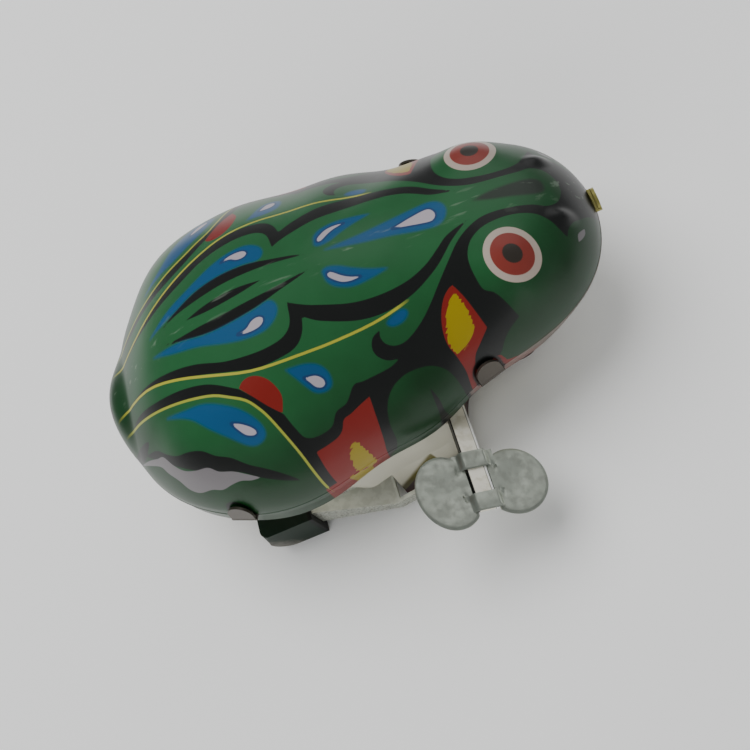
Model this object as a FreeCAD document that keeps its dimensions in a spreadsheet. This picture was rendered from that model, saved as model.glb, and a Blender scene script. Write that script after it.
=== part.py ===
import FreeCAD, Part
import Sketcher
import math
import os

# Tin wind-up jumping frog.
# Millimetres. X runs from tail to nose, Y to the frog's left, Z up. The origin is on the ground,
# on the flat underside of the belly pan. Every axle lies along Y; the key is on the right (-Y).

doc = FreeCAD.newDocument("jumping_frog")
sheet = doc.addObject("Spreadsheet::Sheet", "dims")

DIMS = {
    # printed body shell
    "fold_height": 16.0, "half_length": 38.0, "tin": 0.4, "crown": 1.70,
    # belly pan
    "pan_top_inset": 0.8, "pan_floor_inset": 1.3, "pan_head_inset": 4.6, "pan_tail_inset": 4.2,
    "pan_floor": 6.7, "pan_lip_drop": 0.9,
    # motor frame
    "plate_half_gap": 8.0, "plate_thick": 0.8, "plate_rear": -15.5, "plate_front": 21.0,
    "plate_low": 7.6, "plate_high": 21.6, "plate_keel_low": 1.2, "pillar_radius": 1.0,
    "flange_rear": 1.5, "flange_long": 17.0, "flange_wide": 2.7, "frame_rivet_radius": 0.5,
    # wheel train
    "gear_module": 0.5, "great_teeth": 36, "second_teeth": 28, "pinion_teeth": 10,
    "ratchet_teeth": 12, "wheel_thick": 0.8, "pinion_long": 2.6, "arbor_radius": 0.8, "bearing_gap": 0.05,
    "main_x": 9.7, "main_z": 12.0, "second_x": -1.2, "second_z": 15.7,
    "cam_x": -10.0, "cam_z": 12.1, "cam_reach": 4.4, "cam_thick": 2.0, "cam_nose": 0.9,
    # winding shaft and key
    "journal_radius": 1.3, "strip_wide": 2.7, "strip_thick": 1.0, "strip_end": 34.2,
    "key_y": -30.2, "key_tilt": 27.0, "key_sheet": 0.5, "lobe_x": 4.5, "lobe_major": 5.3,
    "lobe_minor": 4.3, "key_long": 8.4, "key_hub": 1.9, "key_strap": 2.35, "key_window": 3.7,
    # mainspring
    "spring_inner": 2.0, "spring_outer": 7.3, "spring_turns": 6, "spring_thick": 0.25,
    "spring_wide": 4.8,
    # kick lever and feet
    "pivot_x": 5.0, "pivot_z": 2.1, "lever_sheet": 0.6, "lever_top": 5.8, "rivet_radius": 1.0,
    "foot_long": 8.4, "foot_wide": 4.0, "foot_high": 6.4, "foot_round": 3.6,
}
for row, (word, value) in enumerate(DIMS.items(), 1):
    sheet.set("A%d" % row, word)
    sheet.set("B%d" % row, str(value))
    sheet.setAlias("B%d" % row, word)
doc.recompute()


def dim(word):
    return float(sheet.get(word))


V = FreeCAD.Vector
ALONG_Y = FreeCAD.Rotation(V(1, 0, 0), -90)
FOLD = dim("fold_height")
TIN = dim("tin")
RIGHT, LEFT = -1, 1
NODES = []


# ---------------------------------------------------------------- document helpers

def place(obj, x="0", y="0", z="0"):
    for axis, rule in zip("xyz", (x, y, z)):
        obj.setExpression("Placement.Base." + axis, str(rule))
    return obj


def bound(kind, name, rules):
    obj = doc.addObject(kind, name)
    for prop, rule in rules.items():
        obj.setExpression(prop, str(rule))
    return obj


def box(name, size, at):
    obj = bound("Part::Box", name, dict(zip(("Length", "Width", "Height"), size)))
    return place(obj, *at)


def rod(name, radius, long, at):
    """A cylinder along +Y from the point at."""
    obj = bound("Part::Cylinder", name, {"Radius": radius, "Height": long})
    obj.Placement = FreeCAD.Placement(V(0, 0, 0), ALONG_Y)
    return place(obj, *at)


def post(name, radius, high, at):
    """A cylinder along +Z from the point at."""
    return place(bound("Part::Cylinder", name, {"Radius": radius, "Height": high}), *at)


def fuse(name, parts):
    obj = doc.addObject("Part::MultiFuse", name)
    obj.Shapes = parts
    return obj


def cut(name, base, tools):
    obj = doc.addObject("Part::Cut", name)
    obj.Base = base
    obj.Tool = tools[0] if len(tools) == 1 else fuse(name + "_tools", tools)
    return obj


def node(obj, label):
    obj.Label = label
    NODES.append(obj)
    return obj


def made(shape, label):
    """A piece whose curved form has no feature of its own; its sizes come from the sheet."""
    obj = doc.addObject("Part::Feature", label + "_form")
    obj.Shape = shape
    obj.Placement = FreeCAD.Placement(V(0, 0, 0), FreeCAD.Rotation())
    return node(obj, label)


def prism(points, direction):
    wire = Part.makePolygon([V(*p) for p in points] + [V(*points[0])])
    return Part.Face(wire).extrude(V(*direction))


# ---------------------------------------------------------------- body form

RIM_COSINES = (29.9, -2.1, 7.4, 1.9, 0.8, 0.6, 0.1, -0.3, -0.3)
CROWN_KNOTS = (16.7, 18.7, 17.4, 15.4, 14.1, 17.1, 21.0)


def rim_radius(phi):
    return sum(c * math.cos(k * phi) for k, c in enumerate(RIM_COSINES))


def crown_height(x):
    """Smooth curve through the evenly spaced heights, from tail to nose."""
    last = len(CROWN_KNOTS) - 1
    u = min(max((x / dim("half_length") + 1) / 2 * last, 0.0), last)
    i = min(int(u), last - 1)
    t = u - i
    pick = [CROWN_KNOTS[min(max(i + k, 0), last)] for k in (-1, 0, 1, 2)]
    a, b, c, d = pick
    return b + 0.5 * t * (c - a + t * (2 * a - 5 * b + 4 * c - d + t * (3 * (b - c) + d - a)))


def bump(x, y, at, reach):
    d = math.hypot((x - at[0]) / reach[0], (y - at[1]) / reach[1])
    return math.cos(min(d, 1.0) * math.pi / 2) ** 2


def swell(x, y, angle):
    """How far the pressed features stand out of the plain dome."""
    side = abs(y)
    out = 0.9 * bump(x, side, (25.0, 9.8), (6.4, 6.0))
    out += 0.8 * bump(x, side, (-21.0, 16.0), (13.0, 8.0))
    out += 0.5 * bump(x, side, (33.2, 5.0), (2.2, 1.8))
    out += 1.6 * bump(x, y, (-36.2, 0.0), (3.4, 11.0))
    return out * min(1.0, (math.pi / 2 - angle) / 0.12)


def plain_point(angle, phi):
    r = rim_radius(phi) * math.sin(angle)
    x, y = r * math.cos(phi), r * math.sin(phi)
    n = dim("crown")
    lift = max(1.0 - abs(math.sin(angle)) ** n, 0.0) ** (1.0 / n)
    return V(x, y, FOLD + crown_height(x) * lift)


def normal_at(angle, phi):
    step = 1e-4
    if angle < 0.02:
        return V(0, 0, 1)
    top = min(angle, math.pi / 2 - step)
    du = plain_point(top + step, phi) - plain_point(top - step, phi)
    dv = plain_point(top, phi + step) - plain_point(top, phi - step)
    n = du.cross(dv)
    if angle > math.pi / 2 - 1e-6:
        n.z = 0.0
    n.normalize()
    return n


def dome_point(angle, phi, inward=0.0):
    p = plain_point(angle, phi)
    return p + normal_at(angle, phi) * (swell(p.x, p.y, angle) - inward)


def dome_face(inward, count=45):
    """One four-sided surface: a square grid wrapped on to the round dome."""
    rows = []
    for i in range(count):
        u = -1 + 2 * i / (count - 1)
        row = []
        for j in range(count):
            v = -1 + 2 * j / (count - 1)
            x, y = u * math.sqrt(1 - v * v / 2), v * math.sqrt(1 - u * u / 2)
            angle = min(math.hypot(x, y), 1.0) * math.pi / 2
            row.append(dome_point(angle, math.atan2(y, x), inward))
        rows.append(row)
    surface = Part.BSplineSurface()
    surface.interpolate(rows)
    return surface.toShape()


def band_drop(x):
    """Depth of the turned-down band: deep at the hind legs, hardly any round the snout."""
    rear, snout = 1 / (1 + math.exp((x + 4.0) / 3.0)), 1 / (1 + math.exp((26.0 - x) / 1.5))
    return 1.5 + 1.5 * rear - 0.9 * snout + 0.15 * math.sin(x / 3.0)


def eased(t):
    """0 below 0, 1 above 1 and a smooth step between."""
    t = min(max(t, 0.0), 1.0)
    return t * t * (3 - 2 * t)


def inset_outline(inset, z, head=0.0, tail=0.0, count=112):
    """Closed smooth wire inside the rim, drawn in further under the head and the tail."""
    points = []
    for k in range(count):
        phi = 2 * math.pi * k / count
        n = normal_at(math.pi / 2, phi)
        p = plain_point(math.pi / 2, phi)
        p -= n * (inset + head * eased((p.x - 7.0) / 5.5) + tail * eased((-5.0 - p.x) / 6.0))
        points.append(V(p.x, p.y, z))
    curve = Part.BSplineCurve()
    curve.interpolate(points, True)
    return Part.Wire(curve.toShape())


def rim_frame(phi, z):
    """Placement with local X outward from the rim, local Y along it and Z up."""
    n = normal_at(math.pi / 2, phi)
    p = plain_point(math.pi / 2, phi)
    turn = FreeCAD.Rotation(V(0, 0, 1), math.degrees(math.atan2(n.y, n.x)))
    return FreeCAD.Placement(V(p.x, p.y, z), turn)


def phi_at(x, side):
    """Direction whose rim point has the given x, on the given side."""
    low, high = 0.0, math.pi
    for _ in range(50):
        mid = (low + high) / 2
        if rim_radius(mid) * math.cos(mid) > x:
            low = mid
        else:
            high = mid
    return side * low


# direction of each tab, its width, the straight part of its leaf and the leaf's lean
TAB_PLACES = [(phi_at(x, s), 3.9, 1.4, 12.0) for x in (16.5, -22.0) for s in (RIGHT, LEFT)]
TAB_PLACES += [(0.0, 3.8, 0.0, 0.0), (math.pi, 3.8, 0.0, -25.0)]
TAB_SHEET = 0.42

# frame rivets: places along the body and half their spacing across it
FRAME_RIVET_X = (4.0, 16.0)
FRAME_RIVET_Y = 6.6


def local_box(frame, x0, x1, width, z0, z1):
    solid = Part.makeBox(x1 - x0, width, z1 - z0, V(x0, -width / 2, z0))
    solid.Placement = frame.multiply(solid.Placement)
    return solid


def closed_dome(inward, depth):
    """Dome carried straight down below the fold and closed underneath."""
    face = dome_face(inward)
    faces, low_edges = [face], []
    for edge in face.OuterWire.Edges:
        faces.append(edge.extrude(V(0, 0, -depth)))
        low = edge.copy()
        low.translate(V(0, 0, -depth))
        low_edges.append(low)
    faces.append(Part.Face(Part.Wire(Part.__sortEdges__(low_edges))))
    skin = Part.makeShell(faces)
    skin.sewShape()
    solid = Part.makeSolid(skin)
    if solid.Volume < 0:
        solid.reverse()
    return solid


def build_shell():
    solid = closed_dome(0.0, 3.4).cut(closed_dome(TIN, 4.4))
    # the band's wavy lower edge
    xs = [-42 + 84 * k / 28 for k in range(29)]
    curve = Part.BSplineCurve()
    curve.interpolate([V(x, -40, FOLD - band_drop(x)) for x in xs])
    ends = [V(42, -40, FOLD - 9), V(-42, -40, FOLD - 9)]
    first, last = curve.StartPoint, curve.EndPoint
    lines = [Part.makeLine(last, ends[0]), Part.makeLine(ends[0], ends[1]),
             Part.makeLine(ends[1], first)]
    below = Part.Face(Part.Wire([curve.toShape()] + lines)).extrude(V(0, 80, 0))
    solid = solid.cut(below)
    for phi, width, rise, lean in TAB_PLACES:
        slit = local_box(rim_frame(phi, FOLD), -1.2, 1.2, width + 0.5, -0.45, 0.45)
        solid = solid.cut(slit)
    return solid


# ---------------------------------------------------------------- belly pan

# plan of the keel: place along the body, half width at the base and half width at the top
KEEL_PLAN = [(-3.0, 22.6, 21.4), (1.0, 22.6, 20.9), (4.0, 22.6, 20.6), (6.3, 22.4, 20.0),
             (7.3, 21.9, 18.9), (8.2, 20.0, 16.6), (9.2, 16.0, 13.6), (10.4, 12.4, 11.2),
             (12.2, 10.4, 9.8), (15.0, 9.9, 9.5), (19.0, 9.8, 9.5), (21.4, 9.6, 9.4),
             (23.2, 8.4, 8.2), (24.8, 5.2, 5.0)]
KEEL_FRONT = 25.7


def keel_outline(level, z, inner=0.0):
    """Wide shoulders for the lever rivets, a narrow rounded front and a straight rear edge.
    The level is 0 at the base and 1 at the top."""
    low = KEEL_PLAN[0][1]
    side = []
    for x, base, top in KEEL_PLAN:
        wide = base + (top - base) * level
        side.append((x - inner * (1 - base / low), wide - inner))
    points = [V(x, -y, z) for x, y in side] + [V(KEEL_FRONT - inner, 0, z)]
    points += [V(x, y, z) for x, y in reversed(side)]
    curve = Part.BSplineCurve()
    curve.interpolate(points)
    return Part.Wire([curve.toShape(), Part.makeLine(points[-1], points[0])])


def build_pan():
    lip = FOLD - dim("pan_lip_drop")
    floor = dim("pan_floor")
    a, b = dim("pan_top_inset"), dim("pan_floor_inset")
    ends = dim("pan_head_inset"), dim("pan_tail_inset")
    outer = Part.makeLoft([inset_outline(a, lip), inset_outline(b, floor, *ends)], True, True)
    inner = Part.makeLoft([inset_outline(a + TIN, lip + 0.1),
                           inset_outline(b + TIN, floor + TIN, *ends)], True, True)
    keel = Part.makeLoft([keel_outline(0, 0), keel_outline(1, floor + 0.2)], True, True)
    hollow = Part.makeLoft([keel_outline(0, TIN, TIN), keel_outline(1, floor + 0.8, TIN)],
                           True, True)
    hollow = hollow.cut(Part.makeBox(1.0, 60, 12, V(KEEL_PLAN[0][0] - 1 + TIN, -30, 0)))
    pan = outer.fuse(keel).cut(inner.fuse(hollow))
    # turned-over tabs that hold the shell
    for phi, width, rise, lean in TAB_PLACES:
        frame = rim_frame(phi, FOLD)
        half = width / 2 - 0.1
        stem = local_box(frame, -1.4, -1.0, width, -1.4, 0.2)
        tongue = local_box(frame, -1.4, 0.77, width, -0.2, 0.2)
        leaf = Part.makeCylinder(half, TAB_SHEET, V(0, 0, rise - 0.2), V(1, 0, 0))
        leaf = leaf.common(Part.makeBox(2, 8, 8, V(0, -4, rise - 0.2)))
        if rise:
            leaf = leaf.fuse(Part.makeBox(TAB_SHEET, 2 * half, rise, V(0, -half, -0.2)))
        lean_back = FreeCAD.Placement(V(0.35, 0, 0), FreeCAD.Rotation(V(0, 1, 0), -lean))
        leaf.Placement = frame.multiply(lean_back).multiply(leaf.Placement)
        pan = pan.fuse([stem, tongue, leaf])
    # openings: winding shaft, cam finger, spring hook, lever rivets, frame rivets
    main_x, main_z = dim("main_x"), dim("main_z")
    tools = [Part.makeCylinder(1.8, 14, V(main_x, -28, main_z), V(0, 1, 0)),
             Part.makeBox(3.0, 3.4, 2, V(-12.0, -1.7, floor - 0.5)),
             Part.makeBox(2.6, 2.4, 2, V(-15.6, 3.4, floor - 0.5))]
    for side in (RIGHT, LEFT):
        tools.append(Part.makeCylinder(dim("rivet_radius"), 8,
                                       V(dim("pivot_x"), side * 24, dim("pivot_z")), V(0, -side, 0)))
        for x in FRAME_RIVET_X:
            tools.append(Part.makeCylinder(dim("frame_rivet_radius"), 3, V(x, side * FRAME_RIVET_Y, -1)))
    return pan.cut(tools[0].multiFuse(tools[1:])).removeSplitter()


made(build_shell(), "body_shell")
made(build_pan(), "belly_pan")


# ---------------------------------------------------------------- motor frame

PILLARS = [(-12.4, 19.6), (19.4, 19.4), (19.4, 2.9), (-0.4, 3.2)]


def motor_plate(name, label, side):
    near = "dims.plate_half_gap" if side > 0 else "-dims.plate_half_gap - dims.plate_thick"
    upper = box(name + "_upper", ("dims.plate_front - dims.plate_rear", "dims.plate_thick",
                                  "dims.plate_high - dims.plate_low"),
                ("dims.plate_rear", near, "dims.plate_low"))
    lower = box(name + "_lower", ("dims.plate_front + 1.6", "dims.plate_thick",
                                  "dims.plate_low - dims.plate_keel_low + 0.2"),
                ("-1.6", near, "dims.plate_keel_low"))
    flange_y = "dims.plate_half_gap - dims.flange_wide" if side > 0 else "-dims.plate_half_gap"
    seat = "dims.tin + 0.02"
    flange = box(name + "_flange", ("dims.flange_long", "dims.flange_wide", "dims.plate_thick"),
                 ("dims.flange_rear", flange_y, seat))
    riser = box(name + "_riser", ("dims.flange_long", "dims.plate_thick", "2"),
                ("dims.flange_rear", near, seat))
    holes = []
    for k, (x, z) in enumerate((("main_x", "main_z"), ("second_x", "second_z"), ("cam_x", "cam_z"))):
        radius = "dims.journal_radius" if k == 0 else "dims.arbor_radius"
        holes.append(rod("%s_bearing_%d" % (name, k), radius + " + dims.bearing_gap", "4",
                         ("dims." + x, near + " - 1", "dims." + z)))
    for k, x in enumerate(FRAME_RIVET_X):
        holes.append(post("%s_rivet_hole_%d" % (name, k), "dims.frame_rivet_radius", "3",
                          (x, side * FRAME_RIVET_Y, "0")))
    plate = cut(name, fuse(name + "_blank", [upper, lower, flange, riser]), holes)
    return node(plate, label)


motor_plate("plate_r", "motor_plate_right", RIGHT)
motor_plate("plate_l", "motor_plate_left", LEFT)

PILLAR_NAMES = ("pillar_rear", "pillar_upper_front", "pillar_lower_front", "pillar_keel")
for name, (x, z) in zip(PILLAR_NAMES, PILLARS):
    node(rod(name, "dims.pillar_radius", "2 * dims.plate_half_gap",
             (x, "-dims.plate_half_gap", z)), name)

frame_rivets = []
for side, word in ((RIGHT, "right"), (LEFT, "left")):
    for k, x in enumerate(FRAME_RIVET_X):
        tag = "%s_%d" % (word, k)
        shank = post("frame_shank_" + tag, "dims.frame_rivet_radius", "1.4",
                     (x, side * FRAME_RIVET_Y, "0"))
        head = bound("Part::Cone", "frame_head_" + tag,
                     {"Radius1": "0.95", "Radius2": "0.7", "Height": "0.6"})
        place(head, x, side * FRAME_RIVET_Y, "1.24")
        frame_rivets.append(fuse("frame_rivet_" + tag, [shank, head]))
rivets = doc.addObject("Part::Compound", "frame_rivet_set")
rivets.Links = frame_rivets
node(rivets, "frame_rivets")


# ---------------------------------------------------------------- toothed wheels

def gear(label, teeth_word, long, bore, at, turn, saw=False):
    """Toothed disc: padded root disc, one padded tooth, polar pattern round the axle."""
    body = doc.addObject("PartDesign::Body", label + "_body")
    plane = [o for o in body.Origin.OriginFeatures if o.Role == "XZ_Plane"][0]
    module, teeth = dim("gear_module"), int(dim(teeth_word))
    pitch = module * teeth / 2
    root, tip = pitch - 1.0 * module, pitch + 0.72 * module

    def sketch(name):
        s = body.newObject("Sketcher::SketchObject", label + name)
        s.AttachmentSupport = (plane, [""])
        s.MapMode = "FlatFace"
        return s

    disc = sketch("_disc")
    disc.addGeometry(Part.Circle(V(0, 0, 0), V(0, 0, 1), root))
    disc.addGeometry(Part.Circle(V(0, 0, 0), V(0, 0, 1), bore))
    disc.addConstraint(Sketcher.Constraint("Coincident", 0, 3, -1, 1))
    disc.addConstraint(Sketcher.Constraint("Coincident", 1, 3, -1, 1))
    disc.addConstraint(Sketcher.Constraint("Radius", 0, root))
    disc.setExpression("Constraints[2]", "dims.gear_module * (dims.%s / 2 - 1)" % teeth_word)
    pad = body.newObject("PartDesign::Pad", label + "_pad")
    pad.Profile = disc
    pad.setExpression("Length", long)
    doc.recompute()
    tooth = sketch("_tooth")
    base_half, tip_half = 0.185 * math.pi * module, 0.085 * math.pi * module
    corners = [V(root - 0.25, -base_half, 0), V(tip, -tip_half, 0),
               V(tip, tip_half, 0), V(root - 0.25, base_half, 0)]
    if saw:
        corners[1], corners[2] = V(tip, -base_half, 0), V(tip - 0.1, -base_half + 0.15, 0)
    for a, b in zip(corners, corners[1:] + corners[:1]):
        tooth.addGeometry(Part.LineSegment(a, b))
    for k in range(4):
        tooth.addConstraint(Sketcher.Constraint("Coincident", k, 2, (k + 1) % 4, 1))
    rise = body.newObject("PartDesign::Pad", label + "_tooth_pad")
    rise.Profile = tooth
    rise.setExpression("Length", long)
    doc.recompute()
    ring = body.newObject("PartDesign::PolarPattern", label + "_teeth")
    ring.Originals = [rise]
    ring.Axis = (disc, ["N_Axis"])
    ring.Angle = 360
    ring.setExpression("Occurrences", "dims." + teeth_word)
    body.Tip = ring
    body.Placement = FreeCAD.Placement(V(0, 0, 0), FreeCAD.Rotation(V(0, 1, 0), turn))
    return place(body, *at)


def heading(a, b):
    """Direction in degrees from one axle to another, from +X towards +Z."""
    return math.degrees(math.atan2(dim(b + "_z") - dim(a + "_z"), dim(b + "_x") - dim(a + "_x")))


def axle(name):
    return "dims.%s_x" % name, "dims.%s_z" % name


HALF_TOOTH = 180.0 / dim("pinion_teeth")
ARBOR = dim("arbor_radius")
first, second = heading("main", "second"), heading("second", "cam")
(main_x, main_z), (two_x, two_z), (cam_x, cam_z) = axle("main"), axle("second"), axle("cam")

node(gear("great_wheel", "great_teeth", "dims.wheel_thick", dim("journal_radius") + 0.05,
          (main_x, "-4.6", main_z), -first), "great_wheel")
node(gear("ratchet_wheel", "ratchet_teeth", "dims.wheel_thick", dim("journal_radius"),
          (main_x, "-3.6", main_z), 20, saw=True), "ratchet_wheel")
node(gear("second_pinion", "pinion_teeth", "dims.pinion_long", ARBOR,
          (two_x, "-3.8", two_z), -(first + 180 + HALF_TOOTH)), "second_pinion")
node(gear("second_wheel", "second_teeth", "dims.wheel_thick", ARBOR,
          (two_x, "3.8", two_z), -second), "second_wheel")
node(gear("cam_pinion", "pinion_teeth", "dims.pinion_long", ARBOR,
          (cam_x, "4.7", cam_z), -(second + 180 + HALF_TOOTH)), "cam_pinion")

for name in ("second", "cam"):
    x, z = axle(name)
    node(rod(name + "_axle", "dims.arbor_radius", "2 * dims.plate_half_gap + 3.0",
             (x, "-dims.plate_half_gap - 1.5", z)), name + "_arbor")

cam_hub = rod("cam_hub", "2.0", "dims.cam_thick", (cam_x, "-1", cam_z))
cam_nose = rod("cam_nose", "dims.cam_nose", "dims.cam_thick",
               (cam_x, "-1", "dims.cam_z + dims.cam_reach - dims.cam_nose"))
cam_arm = box("cam_arm", ("2 * dims.cam_nose", "dims.cam_thick", "dims.cam_reach - dims.cam_nose"),
              ("dims.cam_x - dims.cam_nose", "-1", cam_z))
cam_bore = rod("cam_bore", "dims.arbor_radius", "4", (cam_x, "-2", cam_z))
node(cut("kick_cam_body", fuse("kick_cam_blank", [cam_hub, cam_nose, cam_arm]), [cam_bore]), "kick_cam")


# ---------------------------------------------------------------- winding shaft, click, mainspring

MAIN = V(dim("main_x"), 0, dim("main_z"))
TILT = FreeCAD.Rotation(V(0, 1, 0), dim("key_tilt"))


def tilted(obj, y):
    """Turns a piece drawn level on the winding axis to the key's angle."""
    obj.Placement = FreeCAD.Placement(V(0, 0, 0), TILT)
    return place(obj, main_x, y, main_z)


journal = rod("arbor_journal", "dims.journal_radius", "18.8", (main_x, "-9.4", main_z))
strip_box = box("strip_box", ("dims.strip_wide", "dims.strip_end - 9.0", "dims.strip_thick"),
                ("-dims.strip_wide / 2", "0", "-dims.strip_thick / 2"))
strip = doc.addObject("Part::Compound", "strip_turned")
strip.Links = [strip_box]
tilted(strip, "-dims.strip_end")
node(fuse("winding_arbor_body", [journal, strip]), "winding_arbor")


def around_main(points, y0, y1):
    return prism([(MAIN.x + x, y0, MAIN.z + z) for x, z in points], (0, y1 - y0, 0))


def main_rod(radius, x, z, y0, y1):
    return Part.makeCylinder(radius, y1 - y0, V(MAIN.x + x, y0, MAIN.z + z), V(0, 1, 0))


click = around_main([(-0.7, 5.7), (1.85, 3.0), (2.28, 2.72), (2.5, 3.3), (0.9, 6.5)], -4.4, -3.7)
click = click.fuse(main_rod(1.0, 0, 6.2, -4.4, -3.7)).cut(main_rod(0.5, 0, 6.2, -6, -2))
made(click, "click")
click_rivet = main_rod(0.5, 0, 6.2, -5.4, -3.6).fuse(main_rod(0.9, 0, 6.2, -3.6, -3.3))
click_rivet = click_rivet.fuse(main_rod(0.9, 0, 6.2, -5.75, -5.4))
made(click_rivet, "click_rivet")
strip_points = [(6.5, 0.3), (2.75, 3.6), (2.95, 3.8), (6.7, 0.5)]
foot_points = [(6.1, -0.9), (7.3, -0.9), (7.3, 0.9), (6.1, 0.9)]
made(around_main(strip_points, -4.4, -3.8).fuse(around_main(foot_points, -4.58, -4.3)), "click_spring")

# the great wheel lets the click rivet through
wheel = NODES[[n.Label for n in NODES].index("great_wheel")]
NODES.remove(wheel)
wheel.Label = "great_wheel_blank"
rivet_hole = rod("click_rivet_hole", "0.5", "4", ("dims.main_x", "-7", "dims.main_z + 6.2"))
node(cut("great_wheel_pierced", wheel, [rivet_hole]), "great_wheel")


def build_mainspring():
    inner, outer = dim("spring_inner"), dim("spring_outer")
    turns, thick = dim("spring_turns"), dim("spring_thick")
    y = -3.0
    edges = []
    for extra in (0.0, thick):
        points = []
        for k in range(int(turns) * 16 + 1):
            a = 2 * math.pi * k / 16
            r = inner + (outer - inner) * a / (2 * math.pi * turns) + extra
            points.append(V(MAIN.x + r * math.cos(a + 0.66), y, MAIN.z + r * math.sin(a + 0.66)))
        curve = Part.BSplineCurve()
        curve.interpolate(points)
        edges.append((curve, points[0], points[-1]))
    (low, low_start, low_end), (high, high_start, high_end) = edges
    wire = Part.Wire([low.toShape(), Part.makeLine(low_end, high_end), high.toShape(),
                      Part.makeLine(high_start, low_start)])
    coil = Part.Face(wire).extrude(V(0, dim("spring_wide"), 0))
    # straight end reaching the pillar it hooks on
    px, pz = PILLARS[1]
    post_at = V(px, y, pz)
    start = (low_end + high_end) * 0.5
    way = (post_at - start).normalize()
    side = V(-way.z, 0, way.x) * (thick / 2)
    stop = post_at - way * dim("pillar_radius")
    tail = prism([tuple(start - way * 0.1 - side), tuple(stop - side), tuple(stop + side),
                  tuple(start - way * 0.1 + side)], (0, dim("spring_wide"), 0))
    return coil.fuse(tail)


made(build_mainspring(), "mainspring")


# ---------------------------------------------------------------- winding key

key_parts = []
for k, turn in ((-1, 1), (1, -1)):
    rim = bound("Part::Ellipse", "lobe_rim_%d" % (k + 1),
                {"MajorRadius": "dims.lobe_major", "MinorRadius": "dims.lobe_minor"})
    rim.Placement = FreeCAD.Placement(V(0, 0, 0), FreeCAD.Rotation(V(0, 0, 1), 90 + turn * 8))
    place(rim, "%d * dims.lobe_x" % k, "-0.7", "-dims.key_sheet / 2")
    lobe = doc.addObject("Part::Extrusion", "lobe_%d" % (k + 1))
    lobe.Base = rim
    lobe.DirMode = "Custom"
    lobe.Dir = V(0, 0, 1)
    lobe.Solid = True
    lobe.setExpression("LengthFwd", "dims.key_sheet")
    key_parts.append(lobe)
key_parts.append(box("key_middle", ("2 * dims.lobe_x", "dims.key_long", "dims.key_sheet"),
                     ("-dims.lobe_x", "-dims.key_long / 2", "-dims.key_sheet / 2")))
for k, y in enumerate(("-dims.key_long / 2", "dims.key_long / 2 - dims.key_strap")):
    key_parts.append(box("key_bridge_%d" % k, ("2 * dims.key_hub", "dims.key_strap", "1.5"),
                         ("-dims.key_hub", y, "-dims.key_sheet / 2")))
key_blank = fuse("key_blank", key_parts)
slot_size = ("dims.strip_wide + 0.06", "12", "dims.strip_thick + 0.06")
shaft_slot = box("key_shaft_slot", slot_size,
                 ("-dims.strip_wide / 2 - 0.03", "-6", "-dims.strip_thick / 2 - 0.03"))
window = box("key_window_box", ("dims.strip_wide + 0.6", "dims.key_window", "4"),
             ("-dims.strip_wide / 2 - 0.3", "-dims.key_window / 2", "-2"))
key = cut("key_sheet_body", key_blank, [shaft_slot, window])
node(tilted(key, "dims.key_y"), "winding_key")


# ---------------------------------------------------------------- kick lever, feet, return spring

SHEET = dim("lever_sheet")
TOP = dim("lever_top")
# outer edge of the right arm in plan, tail to nose, and its fold line from the side
ARM_PLAN = [(-23.6, 22.3), (-16.0, 22.3), (-4.0, 24.8), (8.4, 23.4)]
ARM_FOLD = [(-23.6, TOP), (-16.0, TOP), (-4.0, 2.9), (1.5, 3.4), (8.4, 3.4)]
ARM_LOW = [(8.4, 0.9), (-4.0, 0.9), (-15.4, 1.5), (-21.4, 1.5), (-23.6, 3.6)]
FOOT_GAP = 0.04


def strip_plan(inner, outer):
    """Plan area between two offsets inward from the arm's outer edge."""
    points = [(x, y - outer, 0) for x, y in ARM_PLAN]
    points += [(x, y - inner, 0) for x, y in reversed(ARM_PLAN)]
    return prism(points, (0, 0, 12))


def side_profile(points):
    return prism([(x, 10, z) for x, z in points], (0, 20, 0))


def build_lever():
    fold_under = [(x, z - SHEET) for x, z in reversed(ARM_FOLD)]
    flange = strip_plan(SHEET, 0).common(side_profile(ARM_FOLD + ARM_LOW))
    top = strip_plan(4.4, 0).common(side_profile(ARM_FOLD + fold_under))
    top = top.common(Part.makeBox(20, 40, 20, V(-23.6, 0, -1)))
    arm = flange.fuse(top)
    hole = Part.makeCylinder(dim("rivet_radius") + 0.05, 12, V(dim("pivot_x"), 16, dim("pivot_z")),
                             V(0, 1, 0))
    arm = arm.cut(hole)
    web = Part.makeBox(7.6, 42, SHEET, V(-16.0, -21, TOP - SHEET))
    finger = Part.makeBox(SHEET, 2.2, 1.6 + SHEET, V(-10.8, -1.1, TOP - SHEET))
    hook = Part.makeBox(SHEET, 1.4, 3.6 + SHEET, V(-14.5, 3.9, TOP - SHEET))
    mirrored = arm.mirror(V(0, 0, 0), V(0, 1, 0))
    return web.fuse([arm, mirrored, finger, hook]).removeSplitter()


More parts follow.
